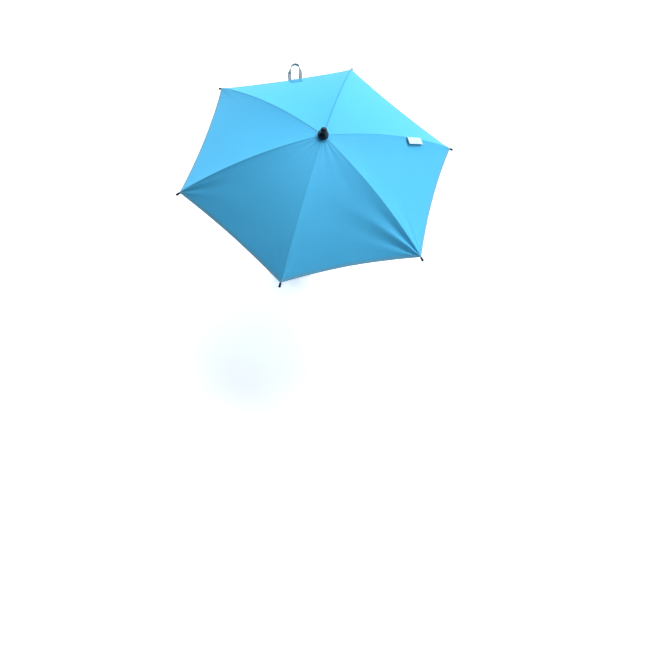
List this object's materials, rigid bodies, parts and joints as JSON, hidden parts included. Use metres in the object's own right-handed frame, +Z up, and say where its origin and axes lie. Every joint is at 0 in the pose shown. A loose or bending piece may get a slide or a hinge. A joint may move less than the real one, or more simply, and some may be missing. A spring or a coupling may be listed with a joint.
{
  "type": "pram parasol",
  "caption": "Small folding parasol with a taut turquoise canopy on steel ribs, a jointed pole with a tilt button, and a screw clamp that grips the tube of a pram.",
  "frame": {"origin": "centre of the gripped tube, midway along the clamp", "axes": "+Y along the gripped tube, +Z up the pole, +X towards the fixed jaw"},
  "size_m": [0.6932, 0.6349, 0.5831],
  "materials": {
    "cloth": "woven polyester, light sheen",
    "label_cloth": "satin ribbon, left bare",
    "clear_strap": "see-through strap",
    "gloss_black": "glossy moulding",
    "black_plastic": "fine texture",
    "knob_plastic": "fine texture",
    "button_plastic": "smooth",
    "rib_steel": "zinc plated",
    "bright_steel": "nickel plated",
    "pole_tube": "satin anodised",
    "grip_rubber": "soft grip"
  },
  "bodies": {
    "clamp": {"clamp_frame": "black_plastic", "jaw_liner": "grip_rubber"},
    "pad": {"clamp_pad": "black_plastic", "pad_liner": "grip_rubber"},
    "screw": {"clamp_screw": "bright_steel", "clamp_knob": "knob_plastic"},
    "head": {"clamp_head": "black_plastic", "head_bolt": "bright_steel", "socket_screw": "bright_steel"},
    "star_knob": {"head_knob": "knob_plastic"},
    "lower_pole": {"lower_tube": "pole_tube", "tube_plug": "black_plastic", "elbow_lower": "black_plastic", "elbow_pin": "bright_steel"},
    "upper_pole": {"elbow_upper": "black_plastic", "upper_tube": "pole_tube", "top_notch": "black_plastic", "notch_wire": "bright_steel", "ferrule": "gloss_black", "crown_patch": "cloth", "button_spring": "bright_steel"},
    "button": {"tilt_button": "button_plastic"},
    "latch_open": {"open_catch": "bright_steel"},
    "latch_closed": {"closed_catch": "bright_steel"},
    "slider": {"runner": "black_plastic", "runner_wire": "bright_steel"},
    "rib_arm_1": {"rib_1": "rib_steel", "rib_rivet_1": "bright_steel", "rib_tip_1": "gloss_black", "canopy_1": "cloth", "label_tag": "label_cloth"},
    "strut_1": {"stretcher_1": "rib_steel"},
    "rib_arm_2": {"rib_2": "rib_steel", "rib_rivet_2": "bright_steel", "rib_tip_2": "gloss_black", "canopy_2": "cloth", "closure_loop": "clear_strap"},
    "strut_2": {"stretcher_2": "rib_steel"},
    "rib_arm_3": {"rib_3": "rib_steel", "rib_rivet_3": "bright_steel", "rib_tip_3": "gloss_black", "canopy_3": "cloth"},
    "strut_3": {"stretcher_3": "rib_steel"},
    "rib_arm_4": {"rib_4": "rib_steel", "rib_rivet_4": "bright_steel", "rib_tip_4": "gloss_black", "canopy_4": "cloth"},
    "strut_4": {"stretcher_4": "rib_steel"},
    "rib_arm_5": {"rib_5": "rib_steel", "rib_rivet_5": "bright_steel", "rib_tip_5": "gloss_black", "canopy_5": "cloth"},
    "strut_5": {"stretcher_5": "rib_steel"},
    "rib_arm_6": {"rib_6": "rib_steel", "rib_rivet_6": "bright_steel", "rib_tip_6": "gloss_black", "canopy_6": "cloth"},
    "strut_6": {"stretcher_6": "rib_steel"}
  },
  "joints": [
    {"name": "pad_slide", "type": "slide", "parent": "clamp", "child": "pad", "axis": [1, 0, 0], "range_m": [-0.01, 0.007]},
    {"name": "clamp_screw_turn", "type": "hinge", "parent": "pad", "child": "screw", "pos_m": [-0.048, 0, 0], "axis": [1, 0, 0], "range_deg": [-1440, 1008]},
    {"name": "head_tilt", "type": "hinge", "parent": "clamp", "child": "head", "pos_m": [0, 0, 0.038], "axis": [1, 0, 0], "range_deg": [-90, 90]},
    {"name": "star_knob_turn", "type": "hinge", "parent": "head", "child": "star_knob", "pos_m": [0.0093, 0, 0.038], "axis": [1, 0, 0], "range_deg": [-270, 0]},
    {"name": "pole_turn", "type": "hinge", "parent": "head", "child": "lower_pole", "pos_m": [0, 0, 0.0563], "axis": [0, 0, 1], "range_deg": [-180, 180]},
    {"name": "elbow_tilt", "type": "hinge", "parent": "lower_pole", "child": "upper_pole", "pos_m": [0, 0, 0.143], "axis": [0, 1, 0], "range_deg": [0, 90]},
    {"name": "button_press", "type": "slide", "parent": "upper_pole", "child": "button", "axis": [1, 0, 0], "range_m": [0, 0.0022], "stiffness_N_per_m": 900, "springref_m": -0.001, "deforming": ["button_spring"]},
    {"name": "open_catch_press", "type": "hinge", "parent": "upper_pole", "child": "latch_open", "pos_m": [0, 0.0016, 0.39405], "axis": [1, 0, 0], "range_deg": [0, 9], "stiffness_Nm_per_rad": 0.5, "springref_deg": -2.86},
    {"name": "closed_catch_press", "type": "hinge", "parent": "upper_pole", "child": "latch_closed", "pos_m": [0, 0.0016, 0.2687], "axis": [-1, 0, 0], "range_deg": [0, 9], "stiffness_Nm_per_rad": 0.5, "springref_deg": -2.86},
    {"name": "canopy_fold", "type": "hinge", "parent": "upper_pole", "child": "rib_arm_1", "pos_m": [0.012, 0, 0.53296], "axis": [0, 1, 0], "range_deg": [0, 66], "deforming": ["canopy_1", "canopy_2", "canopy_3", "canopy_4", "canopy_5", "canopy_6", "closure_loop", "label_tag", "open_catch", "closed_catch"]},
    {"name": "rib_fold_2", "type": "hinge", "parent": "upper_pole", "child": "rib_arm_2", "pos_m": [0.006, 0.01039, 0.53296], "axis": [-0.866, 0.5, 0], "range_deg": [0, 66]},
    {"name": "rib_fold_3", "type": "hinge", "parent": "upper_pole", "child": "rib_arm_3", "pos_m": [-0.006, 0.01039, 0.53296], "axis": [-0.866, -0.5, 0], "range_deg": [0, 66]},
    {"name": "rib_fold_4", "type": "hinge", "parent": "upper_pole", "child": "rib_arm_4", "pos_m": [-0.012, 0, 0.53296], "axis": [0, -1, 0], "range_deg": [0, 66]},
    {"name": "rib_fold_5", "type": "hinge", "parent": "upper_pole", "child": "rib_arm_5", "pos_m": [-0.006, -0.01039, 0.53296], "axis": [0.866, -0.5, 0], "range_deg": [0, 66]},
    {"name": "rib_fold_6", "type": "hinge", "parent": "upper_pole", "child": "rib_arm_6", "pos_m": [0.006, -0.01039, 0.53296], "axis": [0.866, 0.5, 0], "range_deg": [0, 66]},
    {"name": "strut_fold_1", "type": "hinge", "parent": "rib_arm_1", "child": "strut_1", "pos_m": [0.15669, 0, 0.49596], "axis": [0, 1, 0], "range_deg": [-132, 0]},
    {"name": "strut_fold_2", "type": "hinge", "parent": "rib_arm_2", "child": "strut_2", "pos_m": [0.07834, 0.1357, 0.49596], "axis": [-0.866, 0.5, 0], "range_deg": [-132, 0]},
    {"name": "strut_fold_3", "type": "hinge", "parent": "rib_arm_3", "child": "strut_3", "pos_m": [-0.07834, 0.1357, 0.49596], "axis": [-0.866, -0.5, 0], "range_deg": [-132, 0]},
    {"name": "strut_fold_4", "type": "hinge", "parent": "rib_arm_4", "child": "strut_4", "pos_m": [-0.15669, 0, 0.49596], "axis": [0, -1, 0], "range_deg": [-132, 0]},
    {"name": "strut_fold_5", "type": "hinge", "parent": "rib_arm_5", "child": "strut_5", "pos_m": [-0.07834, -0.1357, 0.49596], "axis": [0.866, -0.5, 0], "range_deg": [-132, 0]},
    {"name": "strut_fold_6", "type": "hinge", "parent": "rib_arm_6", "child": "strut_6", "pos_m": [0.07834, -0.1357, 0.49596], "axis": [0.866, 0.5, 0], "range_deg": [-132, 0]},
    {"name": "runner_pivot", "type": "hinge", "parent": "strut_1", "child": "slider", "pos_m": [0.012, 0, 0.45895], "axis": [0, 1, 0], "range_deg": [0, 66]}
  ],
  "couplings": [
    {"joint": "pad_slide", "follows": "clamp_screw_turn", "m_per_rad": 0.00039789},
    {"joint": "rib_fold_2", "follows": "canopy_fold", "ratio": 1},
    {"joint": "rib_fold_3", "follows": "canopy_fold", "ratio": 1},
    {"joint": "rib_fold_4", "follows": "canopy_fold", "ratio": 1},
    {"joint": "rib_fold_5", "follows": "canopy_fold", "ratio": 1},
    {"joint": "rib_fold_6", "follows": "canopy_fold", "ratio": 1},
    {"joint": "strut_fold_1", "follows": "canopy_fold", "ratio": -2},
    {"joint": "strut_fold_2", "follows": "canopy_fold", "ratio": -2},
    {"joint": "strut_fold_3", "follows": "canopy_fold", "ratio": -2},
    {"joint": "strut_fold_4", "follows": "canopy_fold", "ratio": -2},
    {"joint": "strut_fold_5", "follows": "canopy_fold", "ratio": -2},
    {"joint": "strut_fold_6", "follows": "canopy_fold", "ratio": -2},
    {"joint": "runner_pivot", "follows": "canopy_fold", "ratio": 1}
  ]
}
